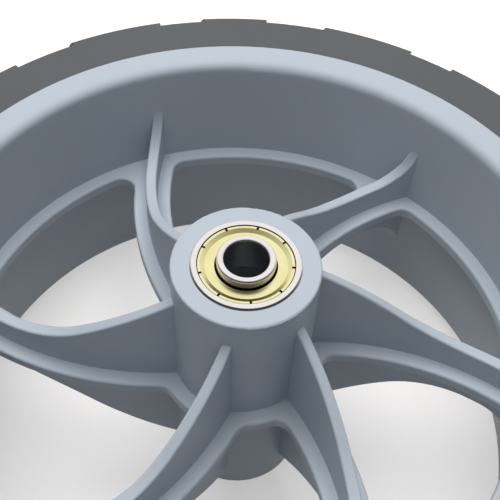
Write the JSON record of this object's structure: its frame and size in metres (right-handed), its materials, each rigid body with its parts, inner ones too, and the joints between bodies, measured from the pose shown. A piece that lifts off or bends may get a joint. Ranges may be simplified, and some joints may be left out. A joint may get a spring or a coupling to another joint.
{
  "type": "rubber wheel",
  "caption": "Garden machine wheel with a solid rubber tyre on a moulded plastic body with swirled ribs, turning on shielded ball bearings in its hub.",
  "frame": {"origin": "middle of the hub, on the axle line, halfway between the hub's end faces", "axes": "+Z along the axle, out of the face that the picture shows, with the wheel lying flat"},
  "size_m": [0.244, 0.244, 0.1016],
  "materials": {
    "wheel_plastic": "satin moulded blue-grey plastic",
    "tyre_rubber": "matte dark grey rubber",
    "bearing_steel": "ground bearing steel",
    "ball_steel": "polished steel",
    "shield_zinc": "yellow zinc on pressed sheet steel",
    "cage_steel": "pressed sheet steel"
  },
  "bodies": {
    "wheel": {"wheel_body": "wheel_plastic", "tyre": "tyre_rubber", "upper_outer_ring": "bearing_steel", "upper_outer_shield": "shield_zinc", "upper_inner_shield": "shield_zinc", "lower_outer_ring": "bearing_steel", "lower_outer_shield": "shield_zinc", "lower_inner_shield": "shield_zinc"},
    "upper_inner_ring": {"upper_inner_ring": "bearing_steel"},
    "upper_ball_set": {"upper_balls": "ball_steel", "upper_outer_cage_half": "cage_steel", "upper_inner_cage_half": "cage_steel", "upper_cage_rivets": "cage_steel"},
    "lower_inner_ring": {"lower_inner_ring": "bearing_steel"},
    "lower_ball_set": {"lower_balls": "ball_steel", "lower_outer_cage_half": "cage_steel", "lower_inner_cage_half": "cage_steel", "lower_cage_rivets": "cage_steel"}
  },
  "joints": [
    {"name": "upper_inner_ring_spin", "type": "hinge", "parent": "wheel", "child": "upper_inner_ring", "pos_m": [0, 0, 0.0436], "axis": [0, 0, 1], "continuous": true},
    {"name": "upper_ball_set_spin", "type": "hinge", "parent": "wheel", "child": "upper_ball_set", "pos_m": [0, 0, 0.0436], "axis": [0, 0, 1], "continuous": true},
    {"name": "lower_inner_ring_spin", "type": "hinge", "parent": "wheel", "child": "lower_inner_ring", "pos_m": [0, 0, -0.0436], "axis": [0, 0, 1], "continuous": true},
    {"name": "lower_ball_set_spin", "type": "hinge", "parent": "wheel", "child": "lower_ball_set", "pos_m": [0, 0, -0.0436], "axis": [0, 0, 1], "continuous": true}
  ],
  "couplings": [
    {"joint": "upper_ball_set_spin", "follows": "upper_inner_ring_spin", "ratio": 0.3669},
    {"joint": "lower_ball_set_spin", "follows": "lower_inner_ring_spin", "ratio": 0.3669}
  ]
}
